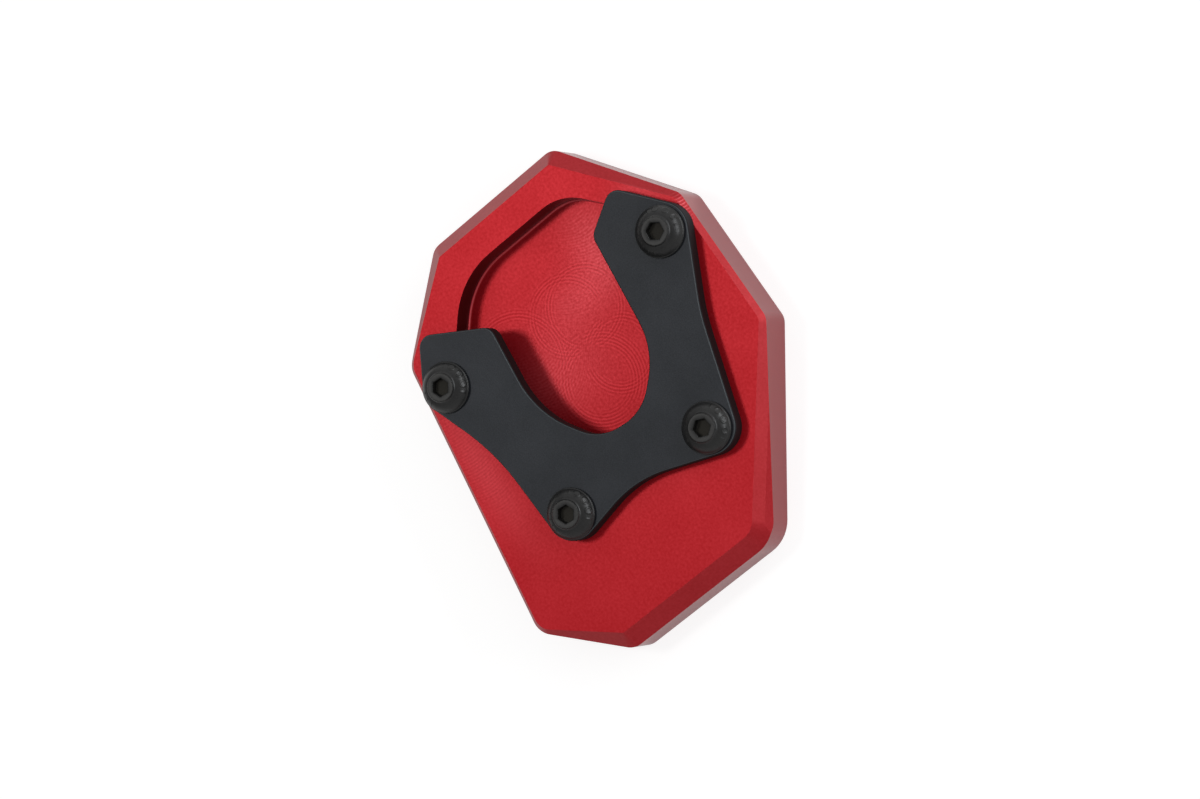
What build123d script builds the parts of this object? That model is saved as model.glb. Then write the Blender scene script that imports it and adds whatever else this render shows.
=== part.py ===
from build123d import *
from math import cos, radians, sin, tan
import os

# Kickstand foot enlarger, in millimetres.
# A red ground plate carries a pocket for the foot of a side stand.
# A black U-shaped plate is screwed down over the pocket and traps the foot in it.
# Z is up and the ground face is at z = 0. X runs from the open back of the U to the front.
# The origin is under the middle of the plate's bounding box.

# Base plate: overall size and the places of its eight corners.
base_length = 82.3
base_width = 69.2
base_thickness = 10.0
back_edge_right = 18.8
back_edge_left = 10.9
right_edge_back = 18.75
right_edge_front = 9.0
front_edge_right = 11.4
front_edge_left = 21.9
left_corner_front = 28.35
left_corner_depth = 0.3
left_corner_back = 27.2
left_corner_back_side = 25.5

# Corner roundings of the wall, going round from the back.
back_right_round = 3.2
right_back_round = 3.0
right_front_round = 3.0
front_right_round = 7.0
front_left_round = 3.5
left_front_round = 4.0
left_back_round = 2.5
back_left_round = 3.2
least_round = 0.4
straight_share = 0.98

# Bevel round the top face: its width at each end and side, and its slope.
back_bevel = 2.8
front_bevel = 3.0
right_bevel = 1.0
left_bevel = 0.7
bevel_angle = 45.0

# Steeper facet under the bevel of the right front cut: how far down it starts, and its slope.
facet_start = 1.75
facet_angle = 54.0

# Pocket for the foot of the stand.
pocket_depth = 5.0
pocket_floor_round = 0.5
pocket_back = 32.7
pocket_front = 15.0
pocket_right = 22.8
pocket_left = 16.4
pocket_back_right = 16.2
pocket_back_left = 8.7
pocket_right_back = 25.2
pocket_left_back = 24.1
pocket_right_front = 5.0
pocket_left_front = 3.0
pocket_front_right = 9.0
pocket_front_left = 7.0
pocket_back_right_round = 10.0
pocket_back_left_round = 16.0
pocket_side_round = 4.0
pocket_front_round = 6.0

# Screws: M5 button heads with a hexagon socket.
thread_diameter = 5.0
screw_length = 8.0
screw_tip_chamfer = 0.6
head_diameter = 9.5
head_height = 2.75
head_rim = 0.35
head_dome_bulge = 0.35
head_flat_diameter = 4.9
socket_across_flats = 3.0
socket_depth = 1.7
socket_drill_angle = 118.0
thread_clearance = 0.05
tap_extra_depth = 1.5
drill_tip_angle = 118.0

# Clamp plate: where it lies, how it is turned, and its four screw places in its own axes.
clamp_thickness = 3.0
clamp_edge_break = 0.25
clamp_middle_x = 0.8
clamp_middle_y = 1.7
clamp_turn = 6.0
back_right_screw_x = 17.8
back_left_screw_x = 15.6
back_screw_y = 25.3
front_screw_x = 16.7
front_screw_y = 15.3
clamp_hole_clearance = 0.25
lobe_round = 5.1

# Clamp plate: directions that its outer edges face, in degrees from its own X axis.
right_arm_end_faces = 135.5
right_back_edge_faces = 68.5
right_front_edge_faces = 78.5
front_right_edge_faces = -14.0
front_left_edge_faces = 17.0
left_front_edge_faces = -81.0
left_back_edge_faces = -63.0
left_arm_side_faces = -115.5
left_arm_end_faces = 155.5
right_arm_tip_faces = 218.0

# Clamp plate: how far each outer edge stands from its own screw.
right_arm_end_reach = 5.4
right_back_edge_reach = 5.3
right_front_edge_reach = 5.45
front_right_edge_reach = 5.05
front_left_edge_reach = 4.95
left_front_edge_reach = 4.95
left_back_edge_reach = 4.85
left_arm_side_reach = 5.0
left_arm_end_reach = 10.0
right_arm_tip_reach = 12.25
right_waist_round = 40.0
front_waist_round = 22.0
left_waist_round = 45.0
arm_corner_round = 2.5

# Gap of the U, in the clamp plate's own axes.
gap_right = 13.45
gap_left = 12.2
gap_bottom = 7.95
gap_right_shoulder = 0.4
gap_left_shoulder = 2.6
gap_bottom_right = 5.7
gap_bottom_left = 3.6
gap_right_shoulder_round = 15.0
gap_left_shoulder_round = 20.0
gap_bottom_round = 9.0


def meeting_point(line_a, line_b):
    """The point where two lines meet, each given by two of its points."""
    start_a, end_a = line_a
    start_b, end_b = line_b
    along_a = end_a - start_a
    along_b = end_b - start_b
    between = start_b - start_a
    share = between.cross(along_b).Z / along_a.cross(along_b).Z
    return start_a + along_a * share


def facing_line(centre, faces, reach):
    """A straight edge that faces one direction at a given distance from a centre."""
    outward = Vector(cos(radians(faces)), sin(radians(faces)))
    middle = centre + outward * reach
    return middle, middle + Vector(-outward.Y, outward.X)


def outline(corners, rounds):
    """A flat face inside straight edges, each corner rounded as far as its two edges leave room."""
    count = len(corners)
    edges = [corners[(i + 1) % count] - corners[i] for i in range(count)]
    setbacks = [tan(radians(edges[i - 1].get_angle(edges[i])) / 2) for i in range(count)]
    rooms = []
    for i in range(count):
        after = (i + 1) % count
        taken = rounds[i] * setbacks[i] + rounds[after] * setbacks[after]
        rooms.append(min(1, straight_share * edges[i].length / taken))
    fitted = [rounds[i] * min(rooms[i - 1], rooms[i]) for i in range(count)]
    return make_face(FilletPolyline(*corners, radius=fitted, close=True))


# Ground plate: the eight corners of its wall, going round clockwise from the back.
back = -base_length / 2
front = base_length / 2
right = base_width / 2
left = -base_width / 2 - left_corner_depth
wall_corners = [
    Vector(back, back_edge_right),
    Vector(-right_edge_back, right),
    Vector(right_edge_front, right),
    Vector(front, front_edge_right),
    Vector(front, -front_edge_left),
    Vector(left_corner_front, left),
    Vector(-left_corner_back, -left_corner_back_side),
    Vector(back, -back_edge_left),
]
wall_rounds = [
    back_right_round,
    right_back_round,
    right_front_round,
    front_right_round,
    front_left_round,
    left_front_round,
    left_back_round,
    back_left_round,
]
bevels = [
    back_bevel,
    right_bevel,
    right_bevel,
    front_bevel,
    front_bevel,
    left_bevel,
    left_bevel,
    back_bevel,
]

# The top face lies inside the wall by the bevel's width, which changes along the corner cuts.
top_lines = []
for i in range(8):
    start = wall_corners[i]
    end = wall_corners[(i + 1) % 8]
    inward = (end - start).rotate(Axis.Z, -90).normalized()
    top_lines.append((start + inward * bevels[i], end + inward * bevels[(i + 1) % 8]))
top_corners = [meeting_point(top_lines[i - 1], top_lines[i]) for i in range(8)]
top_rounds = [max(wall_rounds[i] - bevels[i], least_round) for i in range(8)]

wall = extrude(outline(wall_corners, wall_rounds), base_thickness)
top_face = Pos(0, 0, base_thickness) * outline(top_corners, top_rounds)
bevelled = extrude(top_face, base_thickness, dir=(0, 0, -1), taper=-bevel_angle)
base = wall & bevelled

# The bevel of the right front cut keeps one depth, and a steeper facet runs out under it to the wall.
facet_line = top_lines[2]
facet_along = (facet_line[1] - facet_line[0]).normalized()
facet_outward = facet_along.rotate(Axis.Z, 90)
facet_edge = facet_line[0] + facet_outward * facet_start / tan(radians(bevel_angle))
facet_plane = Plane(
    facet_edge + Vector(0, 0, base_thickness - facet_start),
    facet_along,
    facet_outward * sin(radians(facet_angle)) + Vector(0, 0, cos(radians(facet_angle))),
)
base -= facet_plane * Box(
    2 * base_length, 2 * base_thickness, base_thickness, align=(Align.CENTER, Align.CENTER, Align.MIN)
)

# Pocket, open at the top, with a small round at the foot of its wall.
pocket_corners = [
    Vector(-pocket_back, pocket_back_right),
    Vector(-pocket_right_back, pocket_right),
    Vector(pocket_right_front, pocket_right),
    Vector(pocket_front, pocket_front_right),
    Vector(pocket_front, -pocket_front_left),
    Vector(pocket_left_front, -pocket_left),
    Vector(-pocket_left_back, -pocket_left),
    Vector(-pocket_back, -pocket_back_left),
]
pocket_rounds = [
    pocket_back_right_round,
    pocket_side_round,
    pocket_front_round,
    pocket_front_round,
    pocket_front_round,
    pocket_front_round,
    pocket_side_round,
    pocket_back_left_round,
]
pocket_floor = base_thickness - pocket_depth
pocket = Pos(0, 0, pocket_floor) * extrude(outline(pocket_corners, pocket_rounds), pocket_depth)
pocket = fillet(pocket.faces().sort_by(Axis.Z)[0].edges(), pocket_floor_round)
base -= pocket

# Clamp plate: the four screw places, then the straight edges that stand round them.
back_right_screw = Vector(-back_right_screw_x, back_screw_y)
back_left_screw = Vector(-back_left_screw_x, -back_screw_y)
front_right_screw = Vector(front_screw_x, front_screw_y)
front_left_screw = Vector(front_screw_x, -front_screw_y)
screw_places = [back_right_screw, back_left_screw, front_right_screw, front_left_screw]

right_arm_end = facing_line(back_right_screw, right_arm_end_faces, right_arm_end_reach)
right_back_edge = facing_line(back_right_screw, right_back_edge_faces, right_back_edge_reach)
right_front_edge = facing_line(front_right_screw, right_front_edge_faces, right_front_edge_reach)
front_right_edge = facing_line(front_right_screw, front_right_edge_faces, front_right_edge_reach)
front_left_edge = facing_line(front_left_screw, front_left_edge_faces, front_left_edge_reach)
left_front_edge = facing_line(front_left_screw, left_front_edge_faces, left_front_edge_reach)
left_back_edge = facing_line(back_left_screw, left_back_edge_faces, left_back_edge_reach)
left_arm_side = facing_line(back_left_screw, left_arm_side_faces, left_arm_side_reach)
left_arm_end = facing_line(back_left_screw, left_arm_end_faces, left_arm_end_reach)
right_arm_tip = facing_line(back_right_screw, right_arm_tip_faces, right_arm_tip_reach)
left_gap_edge = (Vector(0, -gap_left), Vector(1, -gap_left))
right_gap_edge = (Vector(0, gap_right), Vector(1, gap_right))

clamp_corners = [
    meeting_point(right_arm_tip, right_arm_end),
    meeting_point(right_arm_end, right_back_edge),
    meeting_point(right_back_edge, right_front_edge),
    meeting_point(right_front_edge, front_right_edge),
    meeting_point(front_right_edge, front_left_edge),
    meeting_point(front_left_edge, left_front_edge),
    meeting_point(left_front_edge, left_back_edge),
    meeting_point(left_back_edge, left_arm_side),
    meeting_point(left_arm_side, left_arm_end),
    meeting_point(left_arm_end, left_gap_edge),
    Vector(-gap_left_shoulder, -gap_left),
    Vector(gap_bottom, -gap_bottom_left),
    Vector(gap_bottom, gap_bottom_right),
    Vector(-gap_right_shoulder, gap_right),
    meeting_point(right_gap_edge, right_arm_tip),
]
clamp_rounds = [
    arm_corner_round,
    lobe_round,
    right_waist_round,
    lobe_round,
    front_waist_round,
    lobe_round,
    left_waist_round,
    lobe_round,
    arm_corner_round,
    arm_corner_round,
    gap_left_shoulder_round,
    gap_bottom_round,
    gap_bottom_round,
    gap_right_shoulder_round,
    arm_corner_round,
]
clamp = extrude(outline(clamp_corners, clamp_rounds), clamp_thickness)
clamp = chamfer(clamp.faces().sort_by(Axis.Z)[-1].edges(), clamp_edge_break)
clamp_hole_radius = thread_diameter / 2 + clamp_hole_clearance
for place in screw_places:
    hole = Cylinder(clamp_hole_radius, clamp_thickness, align=(Align.CENTER, Align.CENTER, Align.MIN))
    clamp -= Pos(place) * hole

# Screw: its head seats at z = 0 and its thread points down.
shank_radius = thread_diameter / 2
head_radius = head_diameter / 2
dome_start = Vector(head_radius, 0, head_rim)
dome_end = Vector(head_flat_diameter / 2, 0, head_height)
dome_outward = (dome_end - dome_start).rotate(Axis.Y, 90).normalized()
dome_middle = (dome_start + dome_end) / 2 + dome_outward * head_dome_bulge
screw_half = make_face(
    [
        Line((0, 0, -screw_length), (shank_radius - screw_tip_chamfer, 0, -screw_length)),
        Line(
            (shank_radius - screw_tip_chamfer, 0, -screw_length),
            (shank_radius, 0, screw_tip_chamfer - screw_length),
        ),
        Line((shank_radius, 0, screw_tip_chamfer - screw_length), (shank_radius, 0, 0)),
        Line((shank_radius, 0, 0), (head_radius, 0, 0)),
        Line((head_radius, 0, 0), dome_start),
        ThreePointArc(dome_start, dome_middle, dome_end),
        Line(dome_end, (0, 0, head_height)),
        Line((0, 0, head_height), (0, 0, -screw_length)),
    ]
)
screw = revolve(screw_half, Axis.Z)
socket_floor = head_height - socket_depth
socket_radius = socket_across_flats / 2
socket = Pos(0, 0, socket_floor) * extrude(
    RegularPolygon(socket_radius, 6, major_radius=False), socket_depth
)
cone_depth = socket_radius / sin(radians(socket_drill_angle / 2)) * cos(radians(socket_drill_angle / 2))
socket += Pos(0, 0, socket_floor) * Cone(
    0, socket_radius, cone_depth, align=(Align.CENTER, Align.CENTER, Align.MAX)
)
screw -= socket

# Blind tapped hole under each screw, with the tip of its drill.
tap_radius = shank_radius + thread_clearance
tap_depth = screw_length - clamp_thickness + tap_extra_depth
tip_depth = tap_radius / sin(radians(drill_tip_angle / 2)) * cos(radians(drill_tip_angle / 2))
tap = Cylinder(tap_radius, tap_depth, align=(Align.CENTER, Align.CENTER, Align.MAX))
tap += Pos(0, 0, -tap_depth) * Cone(
    0, tap_radius, tip_depth, align=(Align.CENTER, Align.CENTER, Align.MAX)
)

# Everything on the ground plate shares the clamp plate's place and turn.
clamp_seat = Pos(clamp_middle_x, clamp_middle_y, base_thickness) * Rot(0, 0, -clamp_turn)
for place in screw_places:
    base -= clamp_seat * Pos(place) * tap
clamp = clamp_seat * clamp
screws = [clamp_seat * Pos(place) * Pos(0, 0, clamp_thickness) * screw for place in screw_places]

os.makedirs("parts", exist_ok=True)
export_step(base, "parts/base_plate.step")
export_step(clamp, "parts/clamp_plate.step")
export_step(Compound(children=screws), "parts/clamp_screws.step")
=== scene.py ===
# %% [markdown]
# The part is a foot enlarger for a motorbike's side stand: a red anodised ground plate, a black
# U-shaped plate that traps the stand's foot in a pocket, and four button-head screws. The solids come
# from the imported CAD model, and this lesson dresses them: a camera, plain studio light, three finishes,
# finer screws and one rim. Every object stays in metres in the CAD frame, so nothing is moved into place.

# %% Load the frame
from math import cos, pi, radians, sin, tau

import bpy
import numpy as np
from mathutils import Matrix, Vector


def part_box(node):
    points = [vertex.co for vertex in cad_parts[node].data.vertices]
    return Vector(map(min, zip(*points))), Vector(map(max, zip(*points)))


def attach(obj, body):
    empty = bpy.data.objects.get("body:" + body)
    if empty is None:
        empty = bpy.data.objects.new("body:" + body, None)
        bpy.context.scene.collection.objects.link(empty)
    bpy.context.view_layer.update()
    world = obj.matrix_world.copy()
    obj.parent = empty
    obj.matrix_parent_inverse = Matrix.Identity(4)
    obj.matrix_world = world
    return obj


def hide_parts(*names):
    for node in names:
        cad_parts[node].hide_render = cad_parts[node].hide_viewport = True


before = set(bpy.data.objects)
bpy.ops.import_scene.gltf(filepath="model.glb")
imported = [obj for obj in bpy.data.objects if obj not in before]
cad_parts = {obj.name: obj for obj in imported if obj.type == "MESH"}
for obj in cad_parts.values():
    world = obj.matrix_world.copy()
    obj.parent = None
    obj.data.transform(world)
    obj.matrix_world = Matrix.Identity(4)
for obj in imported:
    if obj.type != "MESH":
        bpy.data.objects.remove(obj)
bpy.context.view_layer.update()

base_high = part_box("base_plate")[1]
clamp_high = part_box("clamp_plate")[1]
mm = 0.001
print("nodes", sorted(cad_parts))

# %% [markdown]
# The camera stands where the photograph was taken from: high over the plate, on the side of its back
# corner, and turned a quarter about its own axis. A camera can be aimed by a Track To constraint, but
# then its roll can't be set freely. Here its three axes are worked out from three angles, and they become
# the columns of its matrix. A distance along its backward axis gives its place.

# %% Camera
camera_azimuth = radians(53.83)
camera_elevation = radians(65.80)
camera_roll = radians(-90.44)
camera_distance = 0.6653
camera_aim = Vector((1.85 * mm, 0.39 * mm, base_high.z))
camera_lens = 111.0


def direction(azimuth, elevation):
    """A unit vector: azimuth turns from +X towards +Y, elevation rises from the ground."""
    return Vector((cos(elevation) * cos(azimuth), cos(elevation) * sin(azimuth), sin(elevation)))


backward = direction(camera_azimuth, camera_elevation)
level_right = Vector((-sin(camera_azimuth), cos(camera_azimuth), 0))
level_up = backward.cross(level_right)
camera_right = cos(camera_roll) * level_right + sin(camera_roll) * level_up
camera_up = backward.cross(camera_right)
camera_data = bpy.data.cameras.new("photo_camera")
camera_data.lens = camera_lens
camera = bpy.data.objects.new("photo_camera", camera_data)
camera.matrix_world = Matrix((camera_right, camera_up, backward)).transposed().to_4x4()
camera.location = camera_aim + camera_distance * backward
bpy.context.scene.collection.objects.link(camera)
bpy.context.scene.camera = camera
print("camera at", [round(side, 4) for side in camera.location])

# %% [markdown]
# Materials are node trees, and building one by hand takes many lines of new node, set value, link. A few
# small helpers keep the recipes readable. The first adds a node of any kind with its values and links, and
# the others are short names for the kinds that come back often.

# %% Node helpers


def node(tree, kind, inputs=None, **settings):
    """Adds one shader node. Settings are its own properties; an input is a value or another output."""
    made = tree.nodes.new("ShaderNode" + kind)
    for name, value in settings.items():
        setattr(made, name, value)
    for name, value in (inputs or {}).items():
        if isinstance(value, bpy.types.NodeSocket):
            tree.links.new(value, made.inputs[name])
        else:
            made.inputs[name].default_value = value
    return made


def arithmetic(tree, operation, *values):
    """The output of one Math node."""
    return node(tree, "Math", dict(enumerate(values)), operation=operation).outputs[0]


def vector_math(tree, operation, *values, output=0):
    """One output of a Vector Math node: 0 is its vector, 1 its value."""
    return node(tree, "VectorMath", dict(enumerate(values)), operation=operation).outputs[output]


def weighted_sum(tree, *pairs):
    """The sum of several outputs, each times its own weight."""
    total = arithmetic(tree, "MULTIPLY", *pairs[0])
    for value, weight in pairs[1:]:
        total = arithmetic(tree, "MULTIPLY_ADD", value, weight, total)
    return total


def stretch(tree, value, low, high, to_low=0.0, to_high=1.0, **settings):
    """A value stretched from one range to another and kept inside it."""
    limits = {"From Min": low, "From Max": high, "To Min": to_low, "To Max": to_high}
    return node(tree, "MapRange", {"Value": value, **limits}, **settings).outputs[0]


def between(tree, factor, first, second):
    """A number between two, by a factor."""
    return node(tree, "Mix", {"Factor": factor, "A": first, "B": second}).outputs[0]


def blend(tree, factor, first, second):
    """A colour between two, by a factor."""
    return node(tree, "Mix", {"Factor": factor, 6: first, 7: second}, data_type="RGBA").outputs[2]


def new_material(name):
    """An empty material, with its tree and its output node."""
    material = bpy.data.materials.new(name)
    material.use_nodes = True
    material.node_tree.nodes.clear()
    return material, material.node_tree, node(material.node_tree, "OutputMaterial")


print("node helpers ready")

# %% [markdown]
# The photograph has a white background with only a soft trace of shadow. More light would burn out the
# part, so the floor is white by its own colour: the camera sees a floor that glows under a thin layer of
# white paint, and the paint still takes the shadow. Mirror rays see a fully painted floor with a weaker
# glow, and all other rays see the paint alone, which bounces light onto the walls of the part.

# %% Floor
floor_half = 4.0
floor_glow = 0.80
floor_thin_paint = 0.34
floor_paint = 0.80
mirror_glow = 0.1


def white(value):
    """A grey colour with full alpha."""
    return (value, value, value, 1)


floor_material, tree, output = new_material("studio_floor")
path = node(tree, "LightPath").outputs
mirrored = arithmetic(tree, "MAXIMUM", path["Is Glossy Ray"], path["Is Transmission Ray"])
mirror_strength = arithmetic(tree, "MULTIPLY", mirrored, mirror_glow)
shown_glow = node(tree, "Emission", {"Color": white(1), "Strength": floor_glow})
shown_paint = node(tree, "BsdfDiffuse", {"Color": white(floor_thin_paint)})
shown = node(tree, "AddShader", {0: shown_glow.outputs[0], 1: shown_paint.outputs[0]})
plain_glow = node(tree, "Emission", {"Color": white(1), "Strength": mirror_strength})
plain_paint = node(tree, "BsdfDiffuse", {"Color": white(floor_paint)})
plain = node(tree, "AddShader", {0: plain_glow.outputs[0], 1: plain_paint.outputs[0]})
mixed = node(tree, "MixShader", {0: path["Is Camera Ray"], 1: plain.outputs[0], 2: shown.outputs[0]})
tree.links.new(mixed.outputs[0], output.inputs["Surface"])

floor_corners = floor_half * np.array([(-1, -1, 0), (1, -1, 0), (1, 1, 0), (-1, 1, 0)])
floor_mesh = bpy.data.meshes.new("studio_floor")
floor_mesh.from_pydata(floor_corners.tolist(), [], [(0, 1, 2, 3)])
floor_mesh.materials.append(floor_material)
floor = bpy.data.objects.new("studio_floor", floor_mesh)
bpy.context.scene.collection.objects.link(floor)
print("floor", floor_mesh.name, "glow", floor_glow, "paint", floor_thin_paint)

# %% [markdown]
# The light is read from the photograph. The clamp throws a short shadow towards the picture's right and
# the flat faces shine, so a small key lamp stands high on the left, near the place that the flat faces
# mirror into the camera. The bevels on the right are the brightest and the screws' domes carry a cool
# streak on that side, so a wide, low panel stands there. Spot lamps would give hard streaks; area lamps
# have a size, and their reflections on satin metal are soft patches, as in a studio.

# %% Lamps
lamp_aim = Vector((0, 0, base_high.z))


def soft_lamp(name, azimuth, elevation, distance, width, height, power, colour):
    """A rectangular area lamp that faces the part from a direction given in degrees."""
    data = bpy.data.lights.new(name, "AREA")
    data.shape = "RECTANGLE"
    data.size = width
    data.size_y = height
    data.energy = power
    data.color = colour
    lamp = bpy.data.objects.new(name, data)
    towards = direction(radians(azimuth), radians(elevation))
    lamp.location = lamp_aim + distance * towards
    lamp.rotation_euler = towards.to_track_quat("Z", "Y").to_euler()
    bpy.context.scene.collection.objects.link(lamp)
    print("lamp", name, "at", [round(side, 3) for side in lamp.location], "power", power)


soft_lamp("key_lamp", azimuth=-138.6, elevation=65.0, distance=0.75, width=0.13, height=0.13,
          power=1.0, colour=(1.0, 0.985, 0.96))
soft_lamp("panel_lamp", azimuth=80.0, elevation=22.0, distance=0.70, width=0.75, height=0.18,
          power=1.85, colour=(0.94, 0.97, 1.0))

# %% [markdown]
# The room around the part isn't equally bright on all sides, and the bevels show it: each one mirrors
# another side of the room. The world is built from five soft sides: four that stand a quarter turn apart,
# as the picture's right, far, left and near side, and the ceiling. The square of a direction's cosine to a
# side gives that side's share, and above the ground the five squares add up to one, so equal strengths
# make an even room. Only the camera sees the world white.

# %% World
room_turn = radians(53.35)
side_right = 0.5
side_far = 0.95
side_left = 0.12
side_near = 0.58
ceiling = 0.34
room_sides = [(Vector((0, 0, 1)), ceiling)]
for quarter, strength in enumerate((side_right, side_far, side_left, side_near)):
    room_sides.append((direction(room_turn + quarter * pi / 2, 0), strength))
world = bpy.data.worlds.new("studio_world")
world.use_nodes = True
tree = world.node_tree
tree.nodes.clear()
look = node(tree, "TexCoord").outputs["Generated"]
shares = []
for side_axis, strength in room_sides:
    lean = arithmetic(tree, "MAXIMUM", vector_math(tree, "DOT_PRODUCT", look, side_axis, output=1), 0.0)
    shares.append((arithmetic(tree, "MULTIPLY", lean, lean), strength))
room = node(tree, "Background", {"Color": white(1), "Strength": weighted_sum(tree, *shares)})
bright = node(tree, "Background", {"Color": white(1), "Strength": 1.0})
camera_ray = node(tree, "LightPath").outputs["Is Camera Ray"]
mixed = node(tree, "MixShader", {0: camera_ray, 1: room.outputs[0], 2: bright.outputs[0]})
node(tree, "OutputWorld", {"Surface": mixed.outputs[0]})
bpy.context.scene.world = world
bpy.context.scene.view_settings.view_transform = "Standard"
print("world of", len(room_sides), "sides")

# %% [markdown]
# All three finishes need two scales of unevenness: a fine grain that a blasting or a blackening bath
# leaves, and slow clouds where the colour took a little differently. One node group makes both from
# Object coordinates, so that they can be baked and nothing slides when the part turns. A group is built
# once, with named sockets, and placed in each material with its own sizes.

# %% Grain and clouds


def new_group(name, inputs, outputs):
    """An empty node group: inputs are (label, socket type, default), outputs are (label, socket type)."""
    tree = bpy.data.node_groups.new(name, "ShaderNodeTree")
    for label, kind, value in inputs:
        tree.interface.new_socket(label, in_out="INPUT", socket_type=kind).default_value = value
    for label, kind in outputs:
        tree.interface.new_socket(label, in_out="OUTPUT", socket_type=kind)
    entry = tree.nodes.new("NodeGroupInput")
    leave = tree.nodes.new("NodeGroupOutput")
    return tree, entry.outputs, leave.inputs


def place_group(tree, group, inputs):
    """The outputs of a node group placed in a tree."""
    return node(tree, "Group", inputs, node_tree=group).outputs


grain_group, entry, leave = new_group(
    "grain_and_clouds",
    [("Place", "NodeSocketVector", (0, 0, 0)), ("Grain Size", "NodeSocketFloat", 0.25),
     ("Cloud Size", "NodeSocketFloat", 12.0)],
    [("Grain", "NodeSocketFloat"), ("Clouds", "NodeSocketFloat")],
)
for size_label, detail, mark_label in (("Grain Size", 3.0, "Grain"), ("Cloud Size", 2.0, "Clouds")):
    scale = arithmetic(grain_group, "DIVIDE", 1.0, entry[size_label])
    noise = node(grain_group, "TexNoise", {"Vector": entry["Place"], "Scale": scale, "Detail": detail})
    grain_group.links.new(noise.outputs[0], leave[mark_label])
print("group", grain_group.name, [item.name for item in grain_group.interface.items_tree])

# %% [markdown]
# An end mill leaves rings where it dwells: fine circles near the cutter's radius that fade to both sides.
# The distance from a centre, less the radius, goes into a cosine for the fine lines and into a bell curve
# for the fade, and a slow noise breaks the ring into arcs.

# %% Cutter rings
break_scale = 0.16
break_low = 0.32
break_high = 0.50
ring_group, entry, leave = new_group(
    "cutter_ring",
    [("Place", "NodeSocketVector", (0, 0, 0)), ("Centre", "NodeSocketVector", (0, 0, 0)),
     ("Radius", "NodeSocketFloat", 7.0), ("Pitch", "NodeSocketFloat", 0.62),
     ("Fade", "NodeSocketFloat", 1.3)],
    [("Mark", "NodeSocketFloat")],
)
offset = vector_math(ring_group, "SUBTRACT", entry["Place"], entry["Centre"])
flat_offset = vector_math(ring_group, "MULTIPLY", offset, (1, 1, 0))
reach = vector_math(ring_group, "LENGTH", flat_offset, output=1)
from_ring = arithmetic(ring_group, "SUBTRACT", reach, entry["Radius"])
turns = arithmetic(ring_group, "DIVIDE", from_ring, entry["Pitch"])
wave = arithmetic(ring_group, "COSINE", arithmetic(ring_group, "MULTIPLY", turns, tau))
share = arithmetic(ring_group, "DIVIDE", from_ring, entry["Fade"])
falling = arithmetic(ring_group, "MULTIPLY", arithmetic(ring_group, "MULTIPLY", share, share), -1.0)
bell = arithmetic(ring_group, "EXPONENT", falling)
slow = node(ring_group, "TexNoise", {"Vector": entry["Place"], "Scale": break_scale, "Detail": 1.0})
arcs = stretch(ring_group, slow.outputs[0], break_low, break_high)
mark = arithmetic(ring_group, "MULTIPLY", arithmetic(ring_group, "MULTIPLY", wave, bell), arcs)
ring_group.links.new(mark, leave["Mark"])
print("group", ring_group.name)

# %% [markdown]
# A cutter that runs along an edge leaves a track instead: a row of short arcs across its path. The group
# also gives a patch, which the red finish uses as painted sheen: there the colour is painted lighter. The
# patch is a bell curve of the distance from a centre. The arcs are a cosine of the distance along X, bent by
# the height of a circle's arc so that each line curves as the cutter does.

# %% Cutter track
track_and_sheen_group, entry, leave = new_group(
    "cutter_track_and_sheen",
    [("Place", "NodeSocketVector", (0, 0, 0)), ("Centre", "NodeSocketVector", (0, 0, 0)),
     ("Reach", "NodeSocketVector", (1, 1, 1)), ("Radius", "NodeSocketFloat", 9.0),
     ("Pitch", "NodeSocketFloat", 0.6)],
    [("Patch", "NodeSocketFloat"), ("Mark", "NodeSocketFloat")],
)
offset = vector_math(track_and_sheen_group, "SUBTRACT", entry["Place"], entry["Centre"])
scaled = vector_math(track_and_sheen_group, "DIVIDE", offset, entry["Reach"])
far = vector_math(track_and_sheen_group, "DOT_PRODUCT", scaled, scaled, output=1)
patch = arithmetic(track_and_sheen_group, "EXPONENT", arithmetic(track_and_sheen_group, "MULTIPLY", far, -1.0))
axes = node(track_and_sheen_group, "SeparateXYZ", {0: offset}).outputs
square = arithmetic(track_and_sheen_group, "MULTIPLY", axes["Y"], axes["Y"])
bend = arithmetic(track_and_sheen_group, "DIVIDE", square, arithmetic(track_and_sheen_group, "MULTIPLY", entry["Radius"], 2.0))
turns = arithmetic(track_and_sheen_group, "DIVIDE", arithmetic(track_and_sheen_group, "ADD", axes["X"], bend), entry["Pitch"])
wave = arithmetic(track_and_sheen_group, "COSINE", arithmetic(track_and_sheen_group, "MULTIPLY", turns, tau))
track_and_sheen_group.links.new(patch, leave["Patch"])
track_and_sheen_group.links.new(arithmetic(track_and_sheen_group, "MULTIPLY", wave, patch), leave["Mark"])
print("group", track_and_sheen_group.name)

# %% [markdown]
# The base is milled aluminium, blasted fine and dyed red in the anodising bath. Its faces were cut in
# different ways, so each kind of mark belongs to one of them. Material slots on single faces could keep
# them apart, but the solid has one slot. So masks do it: by height, by the distance from the pocket's
# middle, and by how flat a face lies.

# %% Red plate masks
pocket_middle = (-9, 3, 7)
pocket_reach = 28.0
pocket_floor_height = 5.0
floor_margin = 0.2
foot_line_rise = 0.16
foot_line_half = 0.12


def object_place(tree):
    """Object coordinates in millimetres."""
    return vector_math(tree, "MULTIPLY", node(tree, "TexCoord").outputs["Object"], (1 / mm,) * 3)


def height_of(tree, place):
    """The height of a place."""
    return node(tree, "SeparateXYZ", {0: place}).outputs["Z"]


def face_mask(tree, low, high):
    """Nought on walls, one on faces that lie flat: the normal's height, stretched between two limits."""
    lying = arithmetic(tree, "ABSOLUTE", height_of(tree, node(tree, "TexCoord").outputs["Normal"]))
    return stretch(tree, lying, low, high)


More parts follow.
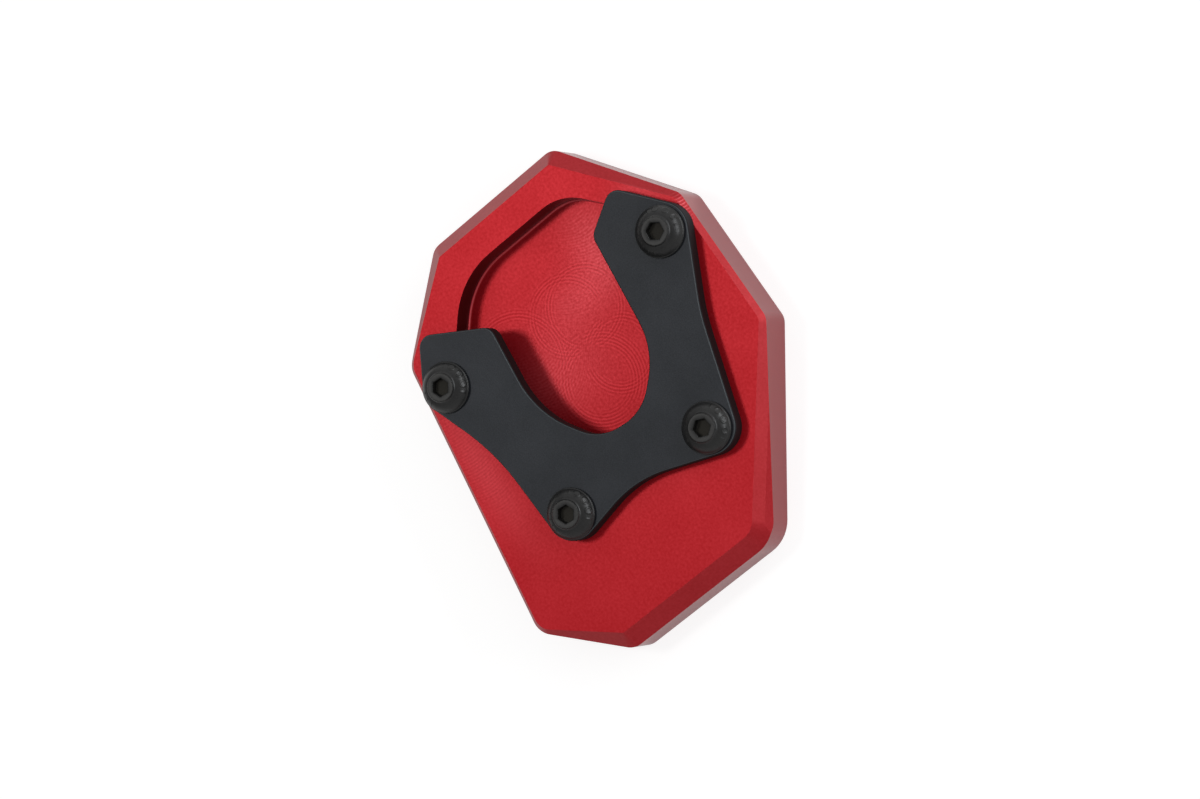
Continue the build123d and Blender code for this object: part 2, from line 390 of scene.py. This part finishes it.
red_finish, red_tree, output = new_material("red_anodised_finish")
place = object_place(red_tree)
height = height_of(red_tree, place)
on_floor = arithmetic(red_tree, "COMPARE", height, pocket_floor_height, floor_margin)
from_middle = vector_math(red_tree, "DISTANCE", place, pocket_middle, output=1)
in_pocket = arithmetic(red_tree, "LESS_THAN", from_middle, pocket_reach)
# The thin line at the foot of the pocket's wall, where the colour is painted as a highlight.
foot_level = arithmetic(red_tree, "COMPARE", height, pocket_floor_height + foot_line_rise, foot_line_half)
at_foot = arithmetic(red_tree, "MULTIPLY", foot_level, in_pocket)
flat = face_mask(red_tree, 0.1, 0.4)
blasted = arithmetic(red_tree, "MAXIMUM", flat, at_foot)
print("masks: floor at", pocket_floor_height, "mm, pocket within", pocket_reach, "mm of", pocket_middle)

# %% [markdown]
# On the pocket's floor the end mill left five broken rings, and three patches of painted sheen with faint
# arcs lighten it. A painted image could hold them, but it would need a UV map and would blur close up.
# Here each ring is its centre, radius and fade, and each patch its centre, reach and strength.

# %% Pocket floor marks
cutter_rings = [
    ((-14.8, 6.2, 0), 7.3, 1.0), ((-15.4, 2.4, 0), 7.0, 1.0), ((-14.2, -10.9, 0), 9.2, 1.1),
    ((-3.8, 7.0, 0), 6.6, 1.2), ((-1.9, 0.9, 0), 7.6, 2.0),
]
# Painted sheen: each patch is a centre, a reach and a strength that lightens the floor's colour.
floor_sheen_patches = [
    ((-22.5, 15.0, 5), (7.2, 5.0, 0.3), 0.42), ((-16.8, 7.4, 5), (4.5, 8.0, 0.3), 0.26),
    ((-8.3, -7.0, 5), (8.3, 13.0, 0.3), 0.27),
]
patch_arc_radius = 7.0
patch_arc_share = 0.25
rings = []
for centre, radius, fade in cutter_rings:
    values = {"Place": place, "Centre": centre, "Radius": radius, "Fade": fade}
    rings.append((place_group(red_tree, ring_group, values)["Mark"], 1.0))
floor_marks = arithmetic(red_tree, "MULTIPLY", weighted_sum(red_tree, *rings), on_floor)
patches = []
for centre, reach, weight in floor_sheen_patches:
    values = {"Place": place, "Centre": centre, "Reach": reach, "Radius": patch_arc_radius}
    patch, arcs = place_group(red_tree, track_and_sheen_group, values)
    patches += [(patch, weight), (arcs, patch_arc_share * weight)]
floor_sheen_and_arcs = weighted_sum(red_tree, *patches)
print("pocket floor:", len(cutter_rings), "rings and", len(floor_sheen_patches), "patches")

# %% [markdown]
# The top face carries a track of the face mill along the left rim, and two patches of painted sheen, one on
# that rim and one at the back. Where the bevel's cutter turned the corner at the back right, it chattered
# and left a few bright ticks. They are short arcs of the same track, of which only the crests are kept.

# %% Rim marks
rim_track = {"Centre": (-3, -26, 10), "Reach": (15, 3.6, 0.2)}
back_sheen_place = {"Centre": (-23, 29, 10), "Reach": (5, 5, 0.2)}
corner_track = {"Centre": (-16.6, 34.0, 9.5), "Reach": (2.2, 0.9, 0.7), "Radius": 2.0, "Pitch": 0.64}
# Painted sheen: the patches at the rim and the back lighten the colour; the rim's arcs are cutter marks.
rim_sheen, rim_marks = place_group(red_tree, track_and_sheen_group, {"Place": place, **rim_track})
back_sheen = place_group(red_tree, track_and_sheen_group, {"Place": place, **back_sheen_place})["Patch"]
corner_marks = place_group(red_tree, track_and_sheen_group, {"Place": place, **corner_track})["Mark"]
ticks = arithmetic(red_tree, "MAXIMUM", corner_marks, 0.0)
print("rim marks at", rim_track["Centre"], back_sheen_place["Centre"], corner_track["Centre"])

# %% [markdown]
# Then the marks go into the colour. The grain and the marks shift the dye between a deep and a light red.
# The worn ticks are paler, and so are the patches, as painted sheen, and the thin line at the foot of the
# pocket's wall, as a painted highlight. The side-milled wall itself is painted dark, a painted shade. A
# vertex paint could hold all this, but the pattern is finer than the mesh, so it is made from Object
# coordinates.

# %% Red plate colour
red_deep = (0.395, 0.001, 0.006, 1)
red_light = (0.460, 0.0105, 0.0185, 1)
# The pale red of the worn ticks, also used for painted sheen and a painted highlight.
red_worn_and_sheen = (0.70, 0.09, 0.11, 1)
# Painted shade: the pocket's side walls are painted this dark red.
red_painted_shade = (0.042, 0.008, 0.008, 1)
tone_low = 0.33
tone_high = 0.67
grain, clouds = place_group(red_tree, grain_group, {"Place": place, "Grain Size": 0.5, "Cloud Size": 11.0})
tone = weighted_sum(red_tree, (grain, 0.7), (clouds, 0.3), (floor_marks, 0.25), (rim_marks, 0.11))
depth = stretch(red_tree, tone, tone_low, tone_high)
scratched = stretch(red_tree, grain, 0.36, 0.64, 0.75, 1.25)
# Painted sheen on the pocket's floor, broken by the grain.
grainy_floor_sheen_and_arcs = arithmetic(red_tree, "MULTIPLY", floor_sheen_and_arcs, scratched)
# Painted sheen on the patches and a painted highlight on the foot line; only the ticks are wear.
sheen_and_wear = weighted_sum(red_tree, (rim_sheen, 0.25), (back_sheen, 0.2), (ticks, 1.0), (at_foot, 0.6),
                    (grainy_floor_sheen_and_arcs, 1.0))
worn_and_sheened = blend(red_tree, sheen_and_wear, blend(red_tree, depth, red_deep, red_light), red_worn_and_sheen)
# Painted shade: the pocket's walls are painted dark.
pocket_wall_shade = arithmetic(red_tree, "MULTIPLY", in_pocket, arithmetic(red_tree, "SUBTRACT", 1.0, blasted))
red_colour = blend(red_tree, pocket_wall_shade, worn_and_sheened, red_painted_shade)
print("red from", red_deep[:3], "to", red_light[:3])

# %% [markdown]
# The dye sits in a clear oxide over metal, so the plate shines in part like red metal and in part like
# lacquer. Square on it looks deep red. At a glancing angle it mirrors the white room, which turns the side
# walls pink: the Layer Weight's facing brings in a coat there, and the bevels carry a little of it too.
# The side-milled walls are smoother and more like metal than the blasted faces.

# %% Red anodised finish
bevel_coat = 0.3
wall_roughness = 0.16
wall_metal = 0.95
face_metal = 0.45
grainy = stretch(red_tree, depth, 0.0, 1.0, 0.44, 0.40)
roughness = between(red_tree, blasted, wall_roughness, grainy)
metallic = stretch(red_tree, blasted, 0.0, 1.0, wall_metal, face_metal)
relief = weighted_sum(red_tree, (grain, 1.0), (floor_marks, 0.8), (rim_marks, 0.8), (ticks, 2.0))
bump = node(red_tree, "Bump", {"Height": relief, "Strength": 0.5, "Distance": 0.006 * mm}).outputs[0]
facing = node(red_tree, "LayerWeight", {"Blend": 0.5}).outputs["Facing"]
glancing = stretch(red_tree, facing, 0.40, 0.56, interpolation_type="SMOOTHSTEP")
leaning = arithmetic(red_tree, "SUBTRACT", flat, face_mask(red_tree, 0.8, 0.95))
coat = arithmetic(red_tree, "MAXIMUM", glancing, arithmetic(red_tree, "MULTIPLY", leaning, bevel_coat))
red_shader = node(red_tree, "BsdfPrincipled", {
    "Base Color": red_colour, "Roughness": roughness, "Metallic": metallic, "IOR": 1.45,
    "Specular IOR Level": 0.30, "Coat Weight": coat, "Coat Roughness": 0.32, "Coat IOR": 1.45,
    "Normal": bump,
})
red_tree.links.new(red_shader.outputs[0], output.inputs["Surface"])
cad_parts["base_plate"].material_slots[0].material = red_finish
print("finish", red_finish.name, len(red_tree.nodes), "nodes")

# %% [markdown]
# The clamp plate is laser-cut aluminium, blasted and dyed black. Its top is matt, even and a touch cool,
# and most of its grey is light from the key lamp. The cut walls are darker and only partly metal, so they
# mirror the red plate dimly. The upper half of the broken edge round the top is painted paler, a painted
# highlight that shows as a thin light line.

# %% Black anodised finish
black_deep = (0.0046, 0.0056, 0.0080, 1)
black_light = (0.0140, 0.0158, 0.0208, 1)
black_edge = (0.012, 0.0115, 0.012, 1)
# Painted highlight: the grey of the thin light line on the top edge.
black_edge_highlight = (0.040, 0.046, 0.050, 1)
edge_highlight_width = 0.13
cut_roughness = 0.60
cut_metal = 0.6
black_finish, tree, output = new_material("black_anodised_finish")
place = object_place(tree)
grain, clouds = place_group(tree, grain_group, {"Place": place, "Grain Size": 0.18, "Cloud Size": 9.0})
tone = weighted_sum(tree, (grain, 0.7), (clouds, 0.3))
depth = stretch(tree, tone, tone_low, tone_high)
flat = face_mask(tree, 0.75, 0.95)
topmost = arithmetic(tree, "GREATER_THAN", height_of(tree, place), clamp_high.z / mm - edge_highlight_width)
upward = arithmetic(tree, "MULTIPLY", topmost, face_mask(tree, 0.3, 0.6))
# Painted highlight on the upper half of the broken edge; the dyed tone elsewhere.
dye_and_edge_highlight = blend(tree, flat, black_edge_highlight, blend(tree, depth, black_deep, black_light))
colour = blend(tree, upward, black_edge, dye_and_edge_highlight)
grainy = stretch(tree, depth, 0.0, 1.0, 0.56, 0.48)
roughness = between(tree, upward, cut_roughness, grainy)
metallic = stretch(tree, upward, 0.0, 1.0, cut_metal, 0.0)
bump = node(tree, "Bump", {"Height": grain, "Strength": 0.5, "Distance": 0.004 * mm}).outputs[0]
black_shader = node(tree, "BsdfPrincipled", {
    "Base Color": colour, "Roughness": roughness, "Metallic": metallic, "IOR": 1.5,
    "Specular IOR Level": 0.40, "Specular Tint": (0.90, 0.945, 1.0, 1), "Normal": bump,
})
tree.links.new(black_shader.outputs[0], output.inputs["Surface"])
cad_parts["clamp_plate"].material_slots[0].material = black_finish
print("finish", black_finish.name, len(tree.nodes), "nodes")

# %% [markdown]
# The screws are steel with a black oxide that is lightly oiled: nearly black, a little uneven, and
# smoother than the plates, so that the domes carry glints from the panel. The flat collar is rubbed matt
# by the key. The socket's walls are painted darker, a painted shade, and its floor a lighter brown, a
# painted reflection. A point attribute of the mesh tells them apart: a half on the walls, one on the floor
# and nought outside.

# %% Black steel finish
steel_deep = (0.006, 0.006, 0.0065, 1)
steel_light = (0.019, 0.019, 0.0185, 1)
# Painted shade on the socket's walls.
steel_painted_shade = (0.005, 0.0045, 0.004, 1)
# Painted reflection: the lighter brown of the socket's floor.
steel_painted_reflection = (0.026, 0.023, 0.017, 1)
collar_roughness = 0.47
socket_roughness = 0.75
steel_finish, tree, output = new_material("black_steel_finish")
place = object_place(tree)
grain, clouds = place_group(tree, grain_group, {"Place": place, "Grain Size": 0.30, "Cloud Size": 2.5})
tone = weighted_sum(tree, (grain, 0.5), (clouds, 0.5))
depth = stretch(tree, tone, 0.3, 0.7)
inside = node(tree, "Attribute", attribute_name="socket").outputs["Fac"]
outside = blend(tree, depth, steel_deep, steel_light)
# Painted shade on the socket's walls, painted reflection on its floor.
in_socket = blend(tree, stretch(tree, inside, 0.5, 1.0), steel_painted_shade, steel_painted_reflection)
colour = blend(tree, stretch(tree, inside, 0.0, 0.5), outside, in_socket)
glossy = stretch(tree, depth, 0.0, 1.0, 0.36, 0.26)
rubbed = face_mask(tree, 0.93, 0.99)
outer = between(tree, rubbed, glossy, collar_roughness)
roughness = between(tree, inside, outer, socket_roughness)
bump = node(tree, "Bump", {"Height": tone, "Strength": 0.4, "Distance": 0.006 * mm}).outputs[0]
steel_shader = node(tree, "BsdfPrincipled", {
    "Base Color": colour, "Roughness": roughness, "Metallic": 0.0, "IOR": 1.5, "Specular IOR Level": 0.42,
    "Normal": bump,
})
tree.links.new(steel_shader.outputs[0], output.inputs["Surface"])
print("finish", steel_finish.name, len(tree.nodes), "nodes")

# %% [markdown]
# Each screw is one closed surface over two parameters: the angle about its axis, and a place along its
# profile, from the tip, up the thread, under the head, over the dome and down into the socket. Spinning a
# curve in Blender gives round rows only. Here each row is an array of radii over all angles, so the same
# grid holds round rows, a helix for the thread, raised marks on the dome and a hexagon for the socket.
# The rounded stretches of the profile are curves of three points, each a radius and a height in
# millimetres above the seat of the head, and the last number of a curve is how many rows it gets.

# %% Screw profile
angle_count = 240
head_radius = 4.75
head_height = 2.75
crease = (4.56, 0.66)
dome_top = (2.98, 2.20)
collar_radius = 2.62
socket_half_width = 1.5
socket_edge = 0.20
under_curve = ((head_radius - 0.34, 0), (head_radius, 0.02), (head_radius, 0.32), 9)
rim_curve = ((head_radius, 0.40), (head_radius - 0.02, 0.58), crease, 7)
valley_curve = (dome_top, (2.72, 2.34), (collar_radius, 2.58), 6)
collar_curve = ((collar_radius, 2.60), (collar_radius, head_height), (collar_radius - 0.16, head_height), 6)
edge_curve = ((socket_half_width + socket_edge, head_height), (socket_half_width, head_height - 0.05),
              (socket_half_width, head_height - socket_edge), 6)
angles = tau * np.arange(angle_count) / angle_count


def curve(first, bend, last, count):
    """Points of a curve that leaves first towards bend and arrives at last from it, a quadratic blend."""
    share = np.linspace(0, 1, count)[:, None]
    first, bend, last = (np.array(point, float) for point in (first, bend, last))
    return (1 - share) ** 2 * first + 2 * share * (1 - share) * bend + share ** 2 * last


print("screw head", head_radius * 2, "mm wide, angles", angle_count)

# %% [markdown]
# The dome carries plain raised marks: small loops in one arc and short bars in the other. A loop is a bell
# curve of the distance from an ellipse, a bar is a bell curve in angle and one in slope, and both are lifts
# along the dome's own slant, so they are real relief that catches the light on one side.

# %% Dome and raised marks
dome_bulge = 0.18
dome_rows_count = 54
mark_height = 0.08
mark_slope = 0.42
loop_angles = np.radians([10, 38, 66])
loop_half_angle = 0.13
loop_half_slope = 0.25
loop_line = 0.28
bar_angles = np.radians([-12, 88, 196, 214, 232])
bar_half_angle = 0.036
bar_half_slope = 0.27


def raised_marks(share):
    """Lift of the dome, from 0 to 1: loops where an ellipse's distance is one, and bars at single angles."""
    apart = (angles[None] - np.concatenate([loop_angles, bar_angles])[:, None] + pi) % tau - pi
    loop_apart, bar_apart = np.split(apart[:, None, :], [len(loop_angles)])
    rise = (share - mark_slope)[None]
    ellipse = np.sqrt((loop_apart / loop_half_angle) ** 2 + (rise / loop_half_slope) ** 2)
    loops = np.exp(-(((ellipse - 1) / loop_line) ** 2))
    bars = np.exp(-((bar_apart / bar_half_angle) ** 2) - (rise / bar_half_slope) ** 6)
    return np.maximum(loops.max(axis=0), bars.max(axis=0))


def dome_rows():
    """The dome: a straight slant, bulged by a parabola and lifted by the marks, both square to the slant."""
    start, end = np.array(crease), np.array(dome_top)
    outward = np.array((end[1] - start[1], start[0] - end[0]))
    outward /= np.linalg.norm(outward)
    share = np.linspace(0, 1, dome_rows_count + 2)[1:-1, None]
    slant = start + share * (end - start)
    lift = dome_bulge * (1 - (2 * share - 1) ** 2) + mark_height * raised_marks(share)
    return slant[:, :1] + outward[0] * lift, slant[:, 1:] + outward[1] * lift


print("marks", len(loop_angles), "loops and", len(bar_angles), "bars, lift in mm", mark_height)

# %% [markdown]
# The shank has a real thread, though little of it is ever seen: a cosine that climbs one pitch in a turn.
# The rows are then stacked from the tip to the socket's floor. The socket is a hexagon with slightly soft
# corners, and its rows are numbered for the finish: a half on its walls and one on its floor.

# %% Screw rows
shank_radius = 2.5
shank_length = 8.0
tip_chamfer = 0.6
thread_pitch = 0.8
thread_depth = 0.40
thread_rows_per_turn = 8
socket_depth = 1.35
socket_sharpness = 36
wall_row_count = 5
drill_drop = 0.2
drill_parts = (0.9, 0.6, 0.3)


def thread_rows():
    """The shank: its radius dips by the thread's depth, in a cosine of height over pitch less the angle."""
    low, high = tip_chamfer - shank_length, 0.0
    count = round((high - low) / thread_pitch * thread_rows_per_turn)
    heights = np.linspace(low, high, count)[:, None]
    wave = 0.5 - 0.5 * np.cos(tau * heights / thread_pitch - angles)
    fade = np.clip(np.minimum(heights - low, high - heights) / thread_pitch, 0, 1)
    return shank_radius - thread_depth * wave * fade, np.broadcast_to(heights, wave.shape)


def round_row(radius):
    """A row of one radius at every angle."""
    return np.full(angle_count, radius)


def hexagon_row(half_width):
    """A hexagon with softened corners: its half width over a soft maximum of the cosines to its six flats."""
    to_flats = np.cos(angles[:, None] - np.arange(6) * pi / 3).clip(0)
    return half_width / (to_flats ** socket_sharpness).sum(axis=1) ** (1 / socket_sharpness)


def row_block(points, row):
    """Radii and heights of some rows, each made round or six-sided by a row function."""
    radii, heights = zip(*points)
    return np.array([row(radius) for radius in radii]), np.array([round_row(height) for height in heights])


def screw_rows():
    """Radii and heights of every row in millimetres, from the tip up and into the socket, and its mask."""
    floor_height = head_height - socket_depth
    tip = [(shank_radius - tip_chamfer, -shank_length)]
    edge = curve(*edge_curve)
    wall_heights = np.linspace(edge[-1, 1], floor_height, wall_row_count + 1)[1:]
    wall = [(socket_half_width, height) for height in wall_heights]
    drill = [(socket_half_width * part, floor_height - drill_drop * (1 - part)) for part in drill_parts]
    outside = [row_block(tip, round_row), thread_rows(), row_block(curve(*under_curve), round_row),
               row_block(curve(*rim_curve), round_row), dome_rows(),
               row_block(curve(*valley_curve), round_row), row_block(curve(*collar_curve), round_row)]
    inside = [row_block(edge, hexagon_row), row_block(wall, hexagon_row), row_block(drill, round_row)]
    radii, heights = (np.vstack(blocks) for blocks in zip(*outside, *inside))
    first_inside = sum(len(block[0]) for block in outside) + len(edge) // 2
    numbers = np.arange(len(radii))
    socket = 0.5 * (numbers >= first_inside) + 0.5 * (numbers >= len(radii) - len(drill))
    return radii, heights, socket


screw_radii, screw_heights, screw_socket = screw_rows()
print("screw rows", screw_radii.shape, "of them in the socket", int((screw_socket > 0).sum()))

# %% [markdown]
# The rows are joined into four-sided faces by index arithmetic on the whole grid. Two fans of triangles
# close the ends, so the surface has no hole. A point attribute carries the socket's mask to the finish.

# %% Screw surface
screw_sharp_angle = 38


def ring_faces(rows, columns):
    """Faces of a grid whose rows are closed rings: a point, the next in its row, and both in the next row."""
    row, column = np.meshgrid(np.arange(rows - 1), np.arange(columns), indexing="ij")
    after = (column + 1) % columns
    corners = [row * columns + column, row * columns + after,
               (row + 1) * columns + after, (row + 1) * columns + column]
    return np.stack(corners, axis=-1).reshape(-1, 4).tolist()


def surface_object(name, points, faces, material, sharp_angle):
    """An object at the origin, from points in metres and faces, smooth up to an angle in degrees."""
    mesh = bpy.data.meshes.new(name)
    mesh.from_pydata(points.tolist(), [], faces)
    mesh.shade_smooth()
    mesh.set_sharp_from_angle(angle=radians(sharp_angle))
    mesh.materials.append(material)
    made = bpy.data.objects.new(name, mesh)
    bpy.context.scene.collection.objects.link(made)
    return made


def screw_object(name, axis, seat, turn):
    """A screw: the rows turned about its axis, in metres, with a fan of triangles at each end."""
    x = axis[0] + mm * screw_radii * np.cos(angles + turn)
    y = axis[1] + mm * screw_radii * np.sin(angles + turn)
    z = seat + mm * screw_heights
    ends = [(axis[0], axis[1], z[0, 0]), (axis[0], axis[1], z[-1, 0])]
    points = np.vstack([np.stack([x, y, z], axis=-1).reshape(-1, 3), ends])
    column = np.arange(angle_count)
    after = (column + 1) % angle_count
    last = x.size - angle_count
    tip_fan = np.stack([np.full(angle_count, x.size), after, column], axis=-1)
    drill_fan = np.stack([np.full(angle_count, x.size + 1), last + column, last + after], axis=-1)
    faces = ring_faces(*x.shape) + tip_fan.tolist() + drill_fan.tolist()
    made = surface_object(name, points, faces, steel_finish, screw_sharp_angle)
    mask = np.append(np.repeat(screw_socket, angle_count), [0, 1])
    marked = made.data.attributes.new("socket", "FLOAT", "POINT")
    marked.data.foreach_set("value", mask.astype(np.float32))
    return made


print("faces on the sides of one screw", len(ring_faces(*screw_radii.shape)))

# %% [markdown]
# The four axes are read from the CAD screws: their points are sorted into front or back and right or left
# of the group's middle, and the middle of each quarter's box is an axis. Each key was let go at another
# turn, so the sockets stand at different angles, as in the photograph.

# %% Four screws
screw_turns = {"back_right": 83.4, "back_left": 53.4, "front_right": 36.7, "front_left": 53.4}
cad_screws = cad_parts["clamp_screws"].data
screw_points = np.empty(3 * len(cad_screws.vertices))
cad_screws.vertices.foreach_get("co", screw_points)
screw_points = screw_points.reshape(-1, 3)
screws_low, screws_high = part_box("clamp_screws")
group_middle = np.array((screws_low + screws_high) / 2)
in_front, on_right = (screw_points > group_middle)[:, :2].T
for screw_name, turn in screw_turns.items():
    own = screw_points[(in_front == ("front" in screw_name)) & (on_right == ("right" in screw_name))]
    axis = (own.min(axis=0) + own.max(axis=0)) / 2
    screw = screw_object("screw_" + screw_name, axis, clamp_high.z, radians(turn))
    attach(screw, "root")
    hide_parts("clamp_screws")
    print(screw.name, "axis in mm", (axis[:2] / mm).round(2), "faces", len(screw.data.polygons))

# %% [markdown]
# On the real plate the left edge runs out a little further towards the back than on the solid. Moving the
# solid's own points would do it, but the CAD nodes stay as they are. So a thin rim is fitted over that
# edge: one profile, a flat top, the bevel and the wall, is carried along a path that turns the back left
# corner. It starts and ends a hair inside the solid, so that no seam shows.

# %% Left rim
solid_back = np.array((-41.15, -10.9))
solid_corner = np.array((-27.2, -25.5))
corner_growth = 2.28
rim_end = np.array((26.4, -34.545))
rim_lead = 2.0
rim_setback = 1.4
rim_turn_points = 13
rim_depth = 2.4
rim_bevels = (0.91, 0.70)
rim_gap = 0.005
rim_sharp_angle = 30


def unit(vectors):
    """Vectors of length one in the same directions."""
    return vectors / np.linalg.norm(vectors, axis=-1, keepdims=True)


def rim_path():
    """The rim's outline in plan: straight to the corner, round it in a curve, and straight to the end."""
    along_back = unit(solid_corner - solid_back)
    corner = solid_corner + corner_growth * along_back
    along_left = unit(rim_end - corner)
    leave, arrive = corner - rim_setback * along_back, corner + rim_setback * along_left
    turn = curve(leave, corner, arrive, rim_turn_points)
    return np.vstack([solid_corner - rim_lead * along_back, solid_corner, turn, rim_end])


def rim_points(path):
    """A closed profile at each point of the path: the point moved inwards by insets and set at heights."""
    along = unit(np.gradient(path, axis=0))
    inward = np.stack([-along[:, 1], along[:, 0]], axis=-1)
    run = np.append(0, np.linalg.norm(np.diff(path, axis=0), axis=1).cumsum())
    bevel = np.interp(run, [0, rim_lead], rim_bevels)
    gap, inner = np.full_like(run, rim_gap), np.full_like(run, rim_depth)
    top = base_high.z / mm - gap
    insets = np.stack([inner, gap + bevel, gap, gap, inner], axis=-1)
    heights = np.stack([top, top, top - bevel, gap, gap], axis=-1)
    places = path[:, None] + insets[..., None] * inward[:, None]
    return np.concatenate([places, heights[..., None]], axis=-1)


points = rim_points(rim_path())
rows, columns = points.shape[:2]
first_end = list(range(columns))
last_end = [(rows - 1) * columns + column for column in first_end]
faces = ring_faces(rows, columns) + [first_end[::-1], last_end]
left_rim = surface_object("left_rim", mm * points.reshape(-1, 3), faces, red_finish, rim_sharp_angle)
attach(left_rim, "root")
print("left rim of", len(left_rim.data.polygons), "faces, corner moved by", corner_growth, "mm")
